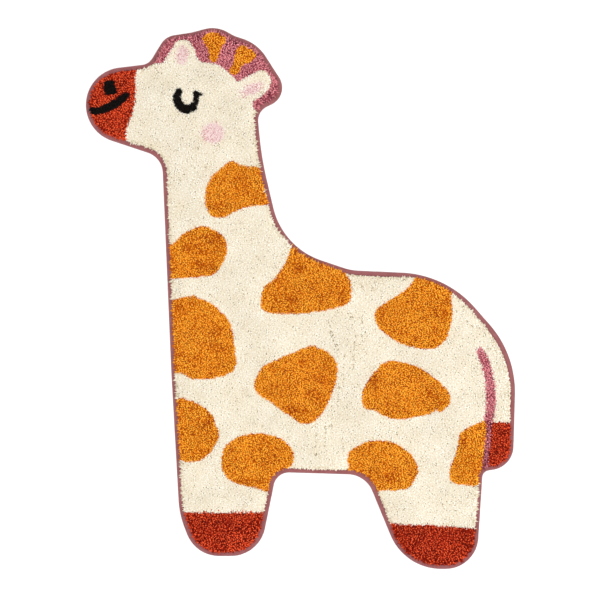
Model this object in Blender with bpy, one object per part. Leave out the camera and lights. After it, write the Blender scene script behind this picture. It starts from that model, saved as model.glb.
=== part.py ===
"""An animal shaped kids' rug of tufted cotton, lying flat on the floor.

Seen from above, the head is at +Y and the tail at +X, and the floor is at z = 0. It has two pieces: the tufted
panel and the cotton tape that is folded over its rim. The outline is a chain of rounds joined by their common
tangents, like a belt over pulleys. Every other edge is that outline moved inwards by its inset.
"""

import math
from typing import NamedTuple

import bmesh
import bpy
import numpy as np
from mathutils import Vector
from mathutils.geometry import delaunay_2d_cdt

MM = 0.001  # metres in a millimetre: every size below is in millimetres

# Tape of the edge binding
TAPE_THICK = 1.0
TAPE_ON_TOP = 9.0  # how far in it reaches over the rim
TAPE_BELOW = 12.0  # how far in it reaches under the rim
TAPE_FOLD = 1.2  # rounding of its two outer folds

# Tufted panel
GAP = 0.3  # clearance between the panel and the tape
RIM_THICK = 2.0  # ground cloth inside the fold of the tape
PILE_TOP = 14.0  # height of the crowned pile above the floor
CROWN_INSET = 21.0  # how far in from the outline the pile has its full height
LUMP = 0.6  # how far the pile's top rises and falls

# Heights and insets that follow from them
RIM_LOW = TAPE_THICK + GAP
RIM_HIGH = RIM_LOW + RIM_THICK
TAPE_TOP = RIM_HIGH + GAP + TAPE_THICK
PILE_FOOT = TAPE_TOP + GAP
PILE_HEIGHT = PILE_TOP - PILE_FOOT

# Fineness of the mesh
ARC_STEP = math.radians(10)
EDGE_STEP = 22.0
GRID_STEP = 17.0
GRID_MARGIN = 0.6  # of GRID_STEP, between the top's grid and its rim


class Round(NamedTuple):
    """One round of the outline. A positive radius has the rug inside it, a negative one has it outside."""

    name: str
    x: float
    y: float
    radius: float


# Anticlockwise from the muzzle, seen from above
OUTLINE = (
    Round("muzzle", -294.5, 322.0, 62.5),
    Round("throat", -265.5, 208.0, -36.5),
    Round("chest", 616.0, -77.0, 832.0),
    Round("front shin", -53.0, -327.0, 150.0),
    Round("front hoof, toe", -135.5, -371.5, 57.0),
    Round("front hoof, heel", -115.5, -371.0, 57.5),
    Round("front groin", -19.0, -315.5, -26.0),
    Round("hind groin", 78.0, -337.5, -45.0),
    Round("hind hoof, toe", 234.0, -359.0, 91.0),
    Round("hind hoof, heel", 241.5, -395.5, 54.5),
    Round("tail notch", 314.5, -298.0, -12.0),
    Round("tail end", 314.5, -245.5, 40.0),
    Round("rump", 187.0, -155.5, 170.0),
    Round("croup", 162.0, -127.0, 170.0),
    Round("withers", 101.0, 136.0, -90.0),
    Round("shoulder", 73.5, 179.0, -122.0),
    Round("back of the neck", 503.0, 327.0, -574.0),
    Round("nape", -44.5, 296.0, -26.0),
    Round("mane, rear", -61.5, 351.0, 31.0),
    Round("mane, crown", -117.5, 365.0, 70.5),
    Round("mane, rear dip", -103.0, 453.5, -18.0),
    Round("mane, top", -146.5, 400.0, 50.0),
    Round("mane, front dip", -185.5, 460.0, -18.0),
    Round("mane, front", -205.5, 407.5, 31.0),
    Round("brow", -266.0, 411.0, -22.5),
)


class Section(NamedTuple):
    """A point of a cross-section: how far in from the outline it is, and its height above the floor."""

    inset: float
    height: float


TAPE_SECTION = (
    Section(TAPE_BELOW, 0.0),
    Section(TAPE_FOLD, 0.0),
    Section(0.0, TAPE_FOLD),
    Section(0.0, TAPE_TOP - TAPE_FOLD),
    Section(TAPE_FOLD, TAPE_TOP),
    Section(TAPE_ON_TOP, TAPE_TOP),
    Section(TAPE_ON_TOP, RIM_HIGH + GAP),
    Section(TAPE_THICK, RIM_HIGH + GAP),
    Section(TAPE_THICK, TAPE_THICK),
    Section(TAPE_BELOW, TAPE_THICK),
)

# From the underside out to the rim, back over the tape, and up the side of the pile
PANEL_SECTION = (
    Section(TAPE_BELOW + GAP, 0.0),
    Section(TAPE_BELOW + GAP, RIM_LOW),
    Section(TAPE_THICK + GAP, RIM_LOW),
    Section(TAPE_THICK + GAP, RIM_HIGH),
    Section(TAPE_ON_TOP + GAP, RIM_HIGH),
    Section(TAPE_ON_TOP + GAP, PILE_FOOT),
    Section(0.32 * CROWN_INSET, PILE_FOOT + 0.06 * PILE_HEIGHT),
    Section(0.29 * CROWN_INSET, PILE_FOOT + 0.30 * PILE_HEIGHT),
    Section(0.34 * CROWN_INSET, PILE_FOOT + 0.62 * PILE_HEIGHT),
    Section(0.50 * CROWN_INSET, PILE_FOOT + 0.86 * PILE_HEIGHT),
    Section(0.72 * CROWN_INSET, PILE_FOOT + 0.97 * PILE_HEIGHT),
    Section(CROWN_INSET, PILE_TOP),
)


class Wave(NamedTuple):
    """One swell of the pile's uneven top: its length, the way it runs, where it starts and its share of LUMP."""

    length: float
    heading: float
    phase: float
    share: float


WAVES = (
    Wave(118.0, 0.4, 0.6, 0.40),
    Wave(83.0, 1.9, 2.1, 0.35),
    Wave(61.0, 2.8, 4.4, 0.25),
)


class Edge(NamedTuple):
    """A point on the outline and the direction that leads straight out of the rug there."""

    point: Vector
    outward: Vector


def tangent_heading(start: Round, end: Round) -> float:
    """The heading of the straight line that leaves one round and meets the next, with the rug on its left."""
    across = Vector((end.x - start.x, end.y - start.y))
    growth = end.radius - start.radius
    along = math.sqrt(across.length_squared - growth * growth)
    return math.atan2(across.y, across.x) - math.atan2(growth, along)


def edge_at(centre: Round, heading: float) -> Edge:
    """The point of a round where the outline runs along this heading."""
    outward = Vector((math.sin(heading), -math.cos(heading)))
    return Edge(Vector((centre.x, centre.y)) + centre.radius * outward, outward)


def outline_edges() -> list[Edge]:
    """The outline once round, anticlockwise, with points along its arcs and its longer straights."""
    following = OUTLINE[1:] + OUTLINE[:1]
    headings = [tangent_heading(here, there) for here, there in zip(OUTLINE, following)]
    edges = []
    for number, (here, there) in enumerate(zip(OUTLINE, following)):
        arrive, leave = headings[number - 1], headings[number]
        turn = (leave - arrive) % math.tau
        if here.radius < 0:
            turn -= math.tau
        arc_length = abs(turn * here.radius)
        pieces = math.ceil(max(abs(turn) / ARC_STEP, arc_length / EDGE_STEP))
        edges += [edge_at(here, arrive + turn * step / pieces) for step in range(pieces + 1)]
        start, end = edges[-1], edge_at(there, leave)
        pieces = math.ceil((end.point - start.point).length / EDGE_STEP)
        edges += [
            Edge(start.point.lerp(end.point, step / pieces), start.outward)
            for step in range(1, pieces)
        ]
    return edges


def lump_at(x: float, y: float) -> float:
    """How far the top of the pile lies above or below its mean height."""
    swell = sum(
        wave.share
        * math.sin(math.tau * (x * math.cos(wave.heading) + y * math.sin(wave.heading)) / wave.length + wave.phase)
        for wave in WAVES
    )
    return LUMP * swell


def ring(mesh: bmesh.types.BMesh, edges: list[Edge], section: Section) -> list[bmesh.types.BMVert]:
    """The outline moved in to a section point. A point on the pile's crown takes its share of the lumps."""
    crowned = max(0.0, (section.height - PILE_FOOT) / PILE_HEIGHT) ** 2
    verts = []
    for edge in edges:
        at = edge.point - section.inset * edge.outward
        height = section.height + crowned * lump_at(at.x, at.y)
        verts.append(mesh.verts.new((at.x * MM, at.y * MM, height * MM)))
    return verts


def loft(mesh: bmesh.types.BMesh, rings: list[list[bmesh.types.BMVert]]) -> None:
    """Quads between each ring and the next."""
    for lower, upper in zip(rings, rings[1:]):
        for number in range(len(lower)):
            mesh.faces.new((lower[number - 1], lower[number], upper[number], upper[number - 1]))


def grid_inside(rim: np.ndarray) -> list[Vector]:
    """Points of a staggered grid that lie well inside a closed polygon."""
    low, high = rim.min(axis=0), rim.max(axis=0)
    start, run = rim, np.roll(rim, -1, axis=0) - rim
    run_squared = (run**2).sum(axis=1)
    found = []
    for row, y in enumerate(np.arange(low[1], high[1], GRID_STEP * math.sqrt(0.75))):
        for x in np.arange(low[0] + 0.5 * GRID_STEP * (row % 2), high[0], GRID_STEP):
            offset = np.array((x, y)) - start
            share = np.clip((offset * run).sum(axis=1) / run_squared, 0, 1)
            distance = np.linalg.norm(offset - share[:, None] * run, axis=1).min()
            ahead = (offset[:, 1] < 0) != (offset[:, 1] < run[:, 1])
            crossing = offset[:, 0] * run[:, 1] - offset[:, 1] * run[:, 0]
            crossings = np.count_nonzero(ahead & ((crossing < 0) == (run[:, 1] > 0)))
            if crossings % 2 and distance > GRID_MARGIN * GRID_STEP:
                found.append(Vector((x, y)))
    return found


def cap_top(mesh: bmesh.types.BMesh, rim: list[bmesh.types.BMVert]) -> None:
    """The lumpy top inside the last ring, as even triangles."""
    outline = [Vector((vert.co.x / MM, vert.co.y / MM)) for vert in rim]
    inner = grid_inside(np.array(outline))
    count = len(outline)
    loop = [(number, (number + 1) % count) for number in range(count)]
    points, _, faces, origins, _, _ = delaunay_2d_cdt(outline + inner, loop, [], 1, 1e-6)
    verts = []
    for point, origin in zip(points, origins):
        if origin[0] < count:
            verts.append(rim[origin[0]])
        else:
            height = PILE_TOP + lump_at(point.x, point.y)
            verts.append(mesh.verts.new((point.x * MM, point.y * MM, height * MM)))
    for face in faces:
        mesh.faces.new([verts[number] for number in face])


def finish_object(name: str, mesh: bmesh.types.BMesh, colour: str, roughness: float) -> bpy.types.Object:
    """A smooth-shaded object with its own plain material."""
    bmesh.ops.recalc_face_normals(mesh, faces=mesh.faces[:])
    data = bpy.data.meshes.new(name)
    mesh.to_mesh(data)
    mesh.free()
    data.shade_smooth()
    data.set_sharp_from_angle(angle=math.radians(35))
    material = bpy.data.materials.new(name)
    material.use_nodes = True
    shader = material.node_tree.nodes["Principled BSDF"]
    shader.inputs["Base Color"].default_value = (*linear_colour(colour), 1.0)
    shader.inputs["Roughness"].default_value = roughness
    shader.inputs["Metallic"].default_value = 0.0
    data.materials.append(material)
    made = bpy.data.objects.new(name, data)
    bpy.context.collection.objects.link(made)
    return made


def linear_colour(code: str) -> list[float]:
    """The linear red, green and blue of an sRGB hex colour."""
    channels = [int(code[start : start + 2], 16) / 255 for start in (1, 3, 5)]
    return [c / 12.92 if c <= 0.04045 else ((c + 0.055) / 1.055) ** 2.4 for c in channels]


def make_panel(edges: list[Edge]) -> bpy.types.Object:
    """The tufted panel: flat below, thin at its rim, with the crowned pile above."""
    mesh = bmesh.new()
    rings = [ring(mesh, edges, section) for section in PANEL_SECTION]
    loft(mesh, rings)
    mesh.faces.new(rings[0])
    cap_top(mesh, rings[-1])
    return finish_object("pile_panel", mesh, colour="#efe2c8", roughness=0.95)


def make_binding(edges: list[Edge]) -> bpy.types.Object:
    """The tape, folded over the rim into one closed loop."""
    mesh = bmesh.new()
    rings = [ring(mesh, edges, section) for section in TAPE_SECTION]
    loft(mesh, rings + rings[:1])
    return finish_object("edge_binding", mesh, colour="#a5626b", roughness=0.85)


def main() -> None:
    """Clears the scene and makes the two pieces."""
    for old in list(bpy.data.objects):
        bpy.data.objects.remove(old)
    edges = outline_edges()
    make_panel(edges)
    make_binding(edges)


if __name__ == "__main__":
    main()
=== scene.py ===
"""The look of a kids' rug in the shape of a giraffe: cut cotton pile, its ground cloth and the tape round it.

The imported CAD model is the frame. Sizes here are in millimetres, in the frame's own axes: the head is at +Y,
the tail at +X, and the floor is at z = 0. The pile is real geometry. Each yarn end is a small leaning bullet,
rooted in the ground cloth, and takes its colour from the area of the design in which its cut end is seen.
"""

from __future__ import annotations

import logging
import math
from dataclasses import dataclass, field
from enum import Enum
from typing import NamedTuple

import bmesh
import bpy
import numpy as np
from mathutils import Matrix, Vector
from mathutils.geometry import delaunay_2d_cdt


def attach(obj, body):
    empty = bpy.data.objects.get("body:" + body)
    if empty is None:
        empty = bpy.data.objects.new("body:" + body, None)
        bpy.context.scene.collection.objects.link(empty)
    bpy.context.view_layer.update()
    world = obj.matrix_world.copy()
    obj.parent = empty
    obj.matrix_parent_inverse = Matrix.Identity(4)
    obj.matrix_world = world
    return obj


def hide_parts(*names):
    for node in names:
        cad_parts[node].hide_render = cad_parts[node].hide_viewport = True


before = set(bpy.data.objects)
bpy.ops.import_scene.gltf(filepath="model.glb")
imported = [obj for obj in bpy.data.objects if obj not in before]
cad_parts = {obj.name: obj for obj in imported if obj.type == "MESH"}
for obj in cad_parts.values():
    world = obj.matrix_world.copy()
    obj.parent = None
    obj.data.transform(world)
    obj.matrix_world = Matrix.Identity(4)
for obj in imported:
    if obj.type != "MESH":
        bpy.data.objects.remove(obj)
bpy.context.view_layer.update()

MM = 0.001  # metres in a millimetre
SEED = 20
FAR = 40.0  # a distance, in mm, past which no border or edge matters
ROW = math.sqrt(0.75)  # height of an even-sided triangle whose side is 1
RING = 3  # points of a ring of a yarn end
POINTS = 2 * RING + 1  # of a yarn end: a ring at its root, one at its bend, and its tip
SKEW = (0.31, 0.95, 0.02)  # a direction that no yarn end points in
BODY = "root"

log = logging.getLogger("rug")

Array = np.ndarray


def linear(code: str) -> tuple[float, float, float, float]:
    """Turns an sRGB hex colour into a linear one.

    Args:
        code: the colour, such as "#f4e9d1".

    Returns:
        Its linear red, green and blue, and an alpha of 1.
    """
    channels = [int(code[start : start + 2], 16) / 255 for start in (1, 3, 5)]
    red, green, blue = (c / 12.92 if c <= 0.04045 else ((c + 0.055) / 1.055) ** 2.4 for c in channels)
    return red, green, blue, 1.0


def add_node(
    tree: bpy.types.NodeTree, kind: str, settings: dict | None = None, links: dict | None = None
) -> bpy.types.Node:
    """Adds a node to a tree.

    Args:
        tree: the tree.
        kind: Blender's name for the node's type.
        settings: values for its inputs or properties, by name or input number. "stops" holds a colour ramp's
            positions and hex colours.
        links: the output that feeds each input, by the input's name or number.

    Returns:
        The new node.
    """
    node = tree.nodes.new(kind)
    for name, value in (settings or {}).items():
        if name == "stops":
            elements = node.color_ramp.elements
            while len(elements) < len(value):
                elements.new(1.0)
            for element, (position, code) in zip(elements, value):
                element.position = position
                element.color = linear(code)
        elif isinstance(name, int) or name in node.inputs:
            node.inputs[name].default_value = value
        else:
            setattr(node, name, value)
    for name, output in (links or {}).items():
        tree.links.new(output, node.inputs[name])
    return node


def start_material(name: str, sockets: dict) -> tuple[bpy.types.Material, bpy.types.NodeTree, bpy.types.Node]:
    """Starts a material.

    Args:
        name: what it is made of, and how.
        sockets: the values that are the same all over it, by the name of the shader's socket.

    Returns:
        The material, its tree, and the tree's shader.
    """
    made = bpy.data.materials.new(name)
    made.use_nodes = True
    shader = made.node_tree.nodes["Principled BSDF"]
    for socket, value in sockets.items():
        shader.inputs[socket].default_value = value
    return made, made.node_tree, shader


def band_scale(spacing: float) -> float:
    """The scale at which the bands of Blender's wave texture, 20 radians to a unit, are one spacing apart."""
    return math.tau / (20.0 * spacing)


def unit(vectors: Array) -> Array:
    """Vectors of length 1 along the given ones."""
    return vectors / np.maximum(np.linalg.norm(vectors, axis=-1, keepdims=True), 1e-9)


def smooth_step(value: Array, low: float, high: float) -> Array:
    """0 below low, 1 above high, and a smooth rise between them."""
    share = np.clip((value - low) / (high - low), 0.0, 1.0)
    return share * share * (3.0 - 2.0 * share)


def grain(rng: np.random.Generator, rows: int, columns: int) -> Array:
    """Noise on a grid in which each value is unlike those round it, so that it makes no blotches."""
    plain = rng.normal(0.0, 1.0, (rows, columns))
    around = sum(np.roll(plain, step, axis=axis) for axis in (0, 1) for step in (-1, 1)) / 4.0
    return ((plain - around) / math.sqrt(1.25)).ravel()


class Wave(NamedTuple):
    """One swell of an uneven field: its length in mm, the way it runs, where it starts, and its share."""

    length: float
    heading: float
    phase: float
    share: float


def swell(at: Array, waves: tuple[Wave, ...]) -> Array:
    """The sum of some waves.

    Args:
        at: places, in mm.
        waves: the waves.

    Returns:
        Their sum at each place.
    """
    total = np.zeros(len(at))
    for wave in waves:
        run = at[:, 0] * math.cos(wave.heading) + at[:, 1] * math.sin(wave.heading)
        total += wave.share * np.sin(math.tau * run / wave.length + wave.phase)
    return total


# --- The outline ---


class Round(NamedTuple):
    """One round of the outline. A positive radius has the rug inside it, a negative one has it outside."""

    name: str
    x: float
    y: float
    radius: float


# The CAD model's own rounds, anticlockwise from the muzzle, seen from above
ROUNDS = (
    Round("muzzle", -294.5, 322.0, 62.5),
    Round("throat", -265.5, 208.0, -36.5),
    Round("chest", 616.0, -77.0, 832.0),
    Round("front shin", -53.0, -327.0, 150.0),
    Round("front hoof, toe", -135.5, -371.5, 57.0),
    Round("front hoof, heel", -115.5, -371.0, 57.5),
    Round("front groin", -19.0, -315.5, -26.0),
    Round("hind groin", 78.0, -337.5, -45.0),
    Round("hind hoof, toe", 234.0, -359.0, 91.0),
    Round("hind hoof, heel", 241.5, -395.5, 54.5),
    Round("tail notch", 314.5, -298.0, -12.0),
    Round("tail end", 314.5, -245.5, 40.0),
    Round("rump", 187.0, -155.5, 170.0),
    Round("croup", 162.0, -127.0, 170.0),
    Round("withers", 101.0, 136.0, -90.0),
    Round("shoulder", 73.5, 179.0, -122.0),
    Round("back of the neck", 503.0, 327.0, -574.0),
    Round("nape", -44.5, 296.0, -26.0),
    Round("mane, rear", -61.5, 351.0, 31.0),
    Round("mane, crown", -117.5, 365.0, 70.5),
    Round("mane, rear dip", -103.0, 453.5, -18.0),
    Round("mane, top", -146.5, 400.0, 50.0),
    Round("mane, front dip", -185.5, 460.0, -18.0),
    Round("mane, front", -205.5, 407.5, 31.0),
    Round("brow", -266.0, 411.0, -22.5),
)


@dataclass
class Outline:
    """The rug's outline: rounds joined by their common tangents, like a belt over pulleys."""

    rounds: tuple[Round, ...]
    step: float = 2.0  # between its points
    points: Array = field(init=False)
    outward: Array = field(init=False)
    length: float = field(init=False)

    def __post_init__(self) -> None:
        """Walks the belt once round and spaces its points evenly."""
        following = self.rounds[1:] + self.rounds[:1]
        headings = [self.tangent_heading(here, there) for here, there in zip(self.rounds, following)]
        points, outward = [], []
        for number, here in enumerate(self.rounds):
            arrive, leave = headings[number - 1], headings[number]
            turn = (leave - arrive) % math.tau - (math.tau if here.radius < 0 else 0.0)
            count = max(2, math.ceil(abs(turn * here.radius) / self.step) + 1)
            heading = arrive + turn * np.linspace(0.0, 1.0, count)
            away = np.stack((np.sin(heading), -np.cos(heading)), axis=1)
            points.append(np.array((here.x, here.y)) + here.radius * away)
            outward.append(away)
        corners, aways = np.concatenate(points), np.concatenate(outward)
        runs = np.linalg.norm(np.roll(corners, -1, axis=0) - corners, axis=1)
        along = np.concatenate(((0.0,), np.cumsum(runs)))
        self.length = float(along[-1])
        at = np.arange(0.0, self.length, self.length / round(self.length / self.step))
        closed = [np.concatenate((values, values[:1])) for values in (corners, aways)]
        points, outward = (
            np.stack([np.interp(at, along, values[:, axis]) for axis in (0, 1)], axis=1) for values in closed
        )
        self.points, self.outward = points, unit(outward)

    @staticmethod
    def tangent_heading(start: Round, end: Round) -> float:
        """The heading of the straight line from one round to the next, with the rug on its left."""
        across = math.hypot(end.x - start.x, end.y - start.y)
        growth = end.radius - start.radius
        along = math.sqrt(across * across - growth * growth)
        return math.atan2(end.y - start.y, end.x - start.x) - math.atan2(growth, along)

    def inset(self, at: Array, batch: int = 4000) -> tuple[Array, Array]:
        """How far inside the outline some places are.

        Args:
            at: places, in mm.
            batch: how many are worked out at a time.

        Returns:
            The distance to the outline, negative outside it, and the direction that leads out of the rug.
        """
        insets, aways = [], []
        for start in range(0, len(at), batch):
            some = at[start : start + batch]
            gaps = ((some[:, None, :] - self.points[None, :, :]) ** 2).sum(axis=2)
            near = gaps.argmin(axis=1)
            away = self.outward[near]
            insets.append(((self.points[near] - some) * away).sum(axis=1))
            aways.append(away)
        return np.concatenate(insets), np.concatenate(aways)

    def stations(self, spacing: float) -> tuple[Array, Array, Array]:
        """Evenly spaced places on the outline.

        Args:
            spacing: the distance between them, in mm.

        Returns:
            The places, their outward directions, and their distances along the outline.
        """
        count = round(self.length / spacing)
        share = np.arange(count) / count * len(self.points)
        low = np.floor(share).astype(int)
        part = (share - low)[:, None]
        high = (low + 1) % len(self.points)
        places = self.points[low] * (1 - part) + self.points[high] * part
        away = unit(self.outward[low] * (1 - part) + self.outward[high] * part)
        return places, away, np.arange(count) * self.length / count


# --- The design ---


class Yarn(Enum):
    """The dyed yarns of the pile."""

    CREAM = 0
    OCHRE = 1
    BRICK = 2
    MAUVE = 3
    PINK = 4
    BLACK = 5


@dataclass(frozen=True)
class Blob:
    """An area inside a closed line through a few points."""

    points: tuple[tuple[float, float], ...]
    rounded: bool = True
    steps: int = 7  # points on the curve for each given one

    def line(self) -> Array:
        """The closed line: a smooth curve through the points, or straight from point to point."""
        corners = np.array(self.points)
        if not self.rounded:
            return corners
        before, after, beyond = (np.roll(corners, shift, axis=0) for shift in (1, -1, -2))
        t = np.linspace(0.0, 1.0, self.steps, endpoint=False)[:, None, None]
        curve = 0.5 * (
            2 * corners
            + (after - before) * t
            + (2 * before - 5 * corners + 4 * after - beyond) * t**2
            + (3 * corners - before - 3 * after + beyond) * t**3
        )
        return curve.transpose(1, 0, 2).reshape(-1, 2)

    def depth(self, at: Array) -> Array:
        """How deep inside the area each place is, in mm, or how far outside, as a negative number."""
        line = self.line()
        depth = np.full(len(at), -FAR)
        near = np.all((at > line.min(axis=0) - FAR) & (at < line.max(axis=0) + FAR), axis=1)
        start, run = line, np.roll(line, -1, axis=0) - line
        offset = at[near][:, None, :] - start
        share = np.clip((offset * run).sum(axis=2) / (run**2).sum(axis=1), 0.0, 1.0)
        distance = np.linalg.norm(offset - share[..., None] * run, axis=2).min(axis=1)
        level = (offset[..., 1] < 0) != (offset[..., 1] < run[:, 1])
        crossing = offset[..., 0] * run[:, 1] - offset[..., 1] * run[:, 0]
        inside = np.count_nonzero(level & ((crossing < 0) == (run[:, 1] > 0)), axis=1) % 2 == 1
        depth[near] = np.where(inside, distance, -distance)
        return depth


@dataclass(frozen=True)
class Oval:
    """An ellipse: its centre, half its length, half its width, and the heading of its length in degrees."""

    x: float
    y: float
    half_length: float
    half_width: float
    heading: float = 0.0

    def depth(self, at: Array) -> Array:
        """How deep inside the oval each place is, in mm."""
        turn = math.radians(self.heading)
        offset = at - (self.x, self.y)
        along = (offset[:, 0] * math.cos(turn) + offset[:, 1] * math.sin(turn)) / self.half_length
        across = (offset[:, 1] * math.cos(turn) - offset[:, 0] * math.sin(turn)) / self.half_width
        return (1.0 - np.hypot(along, across)) * min(self.half_length, self.half_width)


class Knot(NamedTuple):
    """A point of a stroke and the stroke's width there."""

    x: float
    y: float
    width: float


@dataclass(frozen=True)
class Stroke:
    """A line of varying width."""

    knots: tuple[Knot, ...]

    def depth(self, at: Array) -> Array:
        """How deep inside the stroke each place is, in mm."""
        depth = np.full(len(at), -FAR)
        for start, end in zip(self.knots, self.knots[1:]):
            first = np.array((start.x, start.y))
            run = np.array((end.x, end.y)) - first
            share = np.clip(((at - first) * run).sum(axis=1) / (run @ run), 0.0, 1.0)
            distance = np.linalg.norm(at - first - share[:, None] * run, axis=1)
            half_width = 0.5 * (start.width + (end.width - start.width) * share)
            depth = np.maximum(depth, half_width - distance)
        return depth


class Area(NamedTuple):
    """A part of the design that is tufted in one yarn."""

    name: str
    yarn: Yarn
    shape: Blob | Oval | Stroke
    ragged: float = 0.4  # how far its border wanders, in mm
    shade: float = 0.0  # added to the tone of its yarn


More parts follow.
